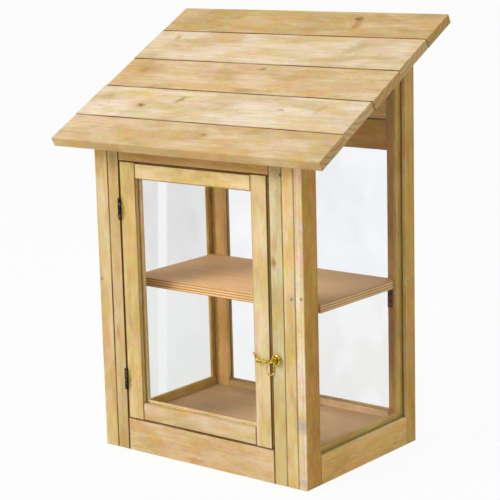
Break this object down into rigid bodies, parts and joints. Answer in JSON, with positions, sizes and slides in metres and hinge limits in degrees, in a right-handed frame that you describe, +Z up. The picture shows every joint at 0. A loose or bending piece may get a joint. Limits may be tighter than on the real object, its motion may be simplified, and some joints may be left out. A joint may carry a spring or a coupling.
{
  "type": "street book exchange box",
  "caption": "Glazed wooden cabinet with a mono-pitch plank roof, a hinged glass door with a hook latch, a shelf and windows in both sides and the back.",
  "frame": {"origin": "middle of the base, on the ground", "axes": "+Z up, the door faces -Y, +X to the right of someone who faces the door"},
  "size_m": [0.6466, 0.4236, 0.8415],
  "materials": {
    "front_pine": "clear oiled",
    "side_pine": "clear oiled",
    "inner_pine": "clear oiled",
    "roof_pine": "clear oiled",
    "plywood": "clear oiled",
    "glass": "clear",
    "brass": "polished",
    "dark_steel": "black satin"
  },
  "bodies": {
    "cabinet": {"front_left_post": "front_pine", "left_jamb": "front_pine", "right_jamb": "front_pine", "front_right_post": "front_pine", "front_bottom_rail": "front_pine", "header": "front_pine", "left_door_stop": "inner_pine", "right_door_stop": "inner_pine", "left_front_stile": "side_pine", "left_rear_stile": "side_pine", "left_bottom_rail": "side_pine", "left_top_rail": "side_pine", "left_pane": "glass", "left_bead_frame": "inner_pine", "right_front_stile": "side_pine", "right_rear_stile": "side_pine", "right_bottom_rail": "side_pine", "right_top_rail": "side_pine", "right_pane": "glass", "right_bead_frame": "inner_pine", "back_left_post": "inner_pine", "back_right_post": "inner_pine", "back_bottom_rail": "inner_pine", "back_top_rail": "inner_pine", "back_board_lower": "inner_pine", "back_board_upper": "inner_pine", "back_pane": "glass", "back_bead_frame": "inner_pine", "floor_panel": "plywood", "left_floor_cleat": "inner_pine", "right_floor_cleat": "inner_pine", "shelf": "plywood", "left_shelf_cleat": "inner_pine", "right_shelf_cleat": "inner_pine", "left_shelf_bracket": "dark_steel", "right_shelf_bracket": "dark_steel", "roof_plank_1": "roof_pine", "roof_plank_2": "roof_pine", "roof_plank_3": "roof_pine", "roof_plank_4": "roof_pine", "roof_plank_5": "roof_pine", "lower_hinge_jamb_leaf": "dark_steel", "lower_hinge_pin": "dark_steel", "upper_hinge_jamb_leaf": "dark_steel", "upper_hinge_pin": "dark_steel", "hook_pivot_screw": "dark_steel"},
    "door": {"door_hinge_stile": "front_pine", "door_latch_stile": "front_pine", "door_bottom_rail": "front_pine", "door_top_rail": "front_pine", "door_pane": "glass", "door_bead_frame": "front_pine", "lower_hinge_door_leaf": "dark_steel", "upper_hinge_door_leaf": "dark_steel", "door_eye": "brass"},
    "latch_hook": {"hook": "brass"},
    "latch_loop": {"hanging_loop": "brass"}
  },
  "joints": [
    {"name": "door_swing", "type": "hinge", "parent": "cabinet", "child": "door", "pos_m": [-0.18675, -0.17081, 0.3151], "axis": [0, 0, -1], "range_deg": [0, 165]},
    {"name": "hook_lift", "type": "hinge", "parent": "cabinet", "child": "latch_hook", "pos_m": [0.189, -0.17351, 0.24035], "axis": [0, 1, 0], "range_deg": [0, 165]},
    {"name": "loop_swing", "type": "hinge", "parent": "latch_hook", "child": "latch_loop", "pos_m": [0.1755, -0.17351, 0.23485], "axis": [-1, 0, 0], "range_deg": [0, 75]}
  ]
}
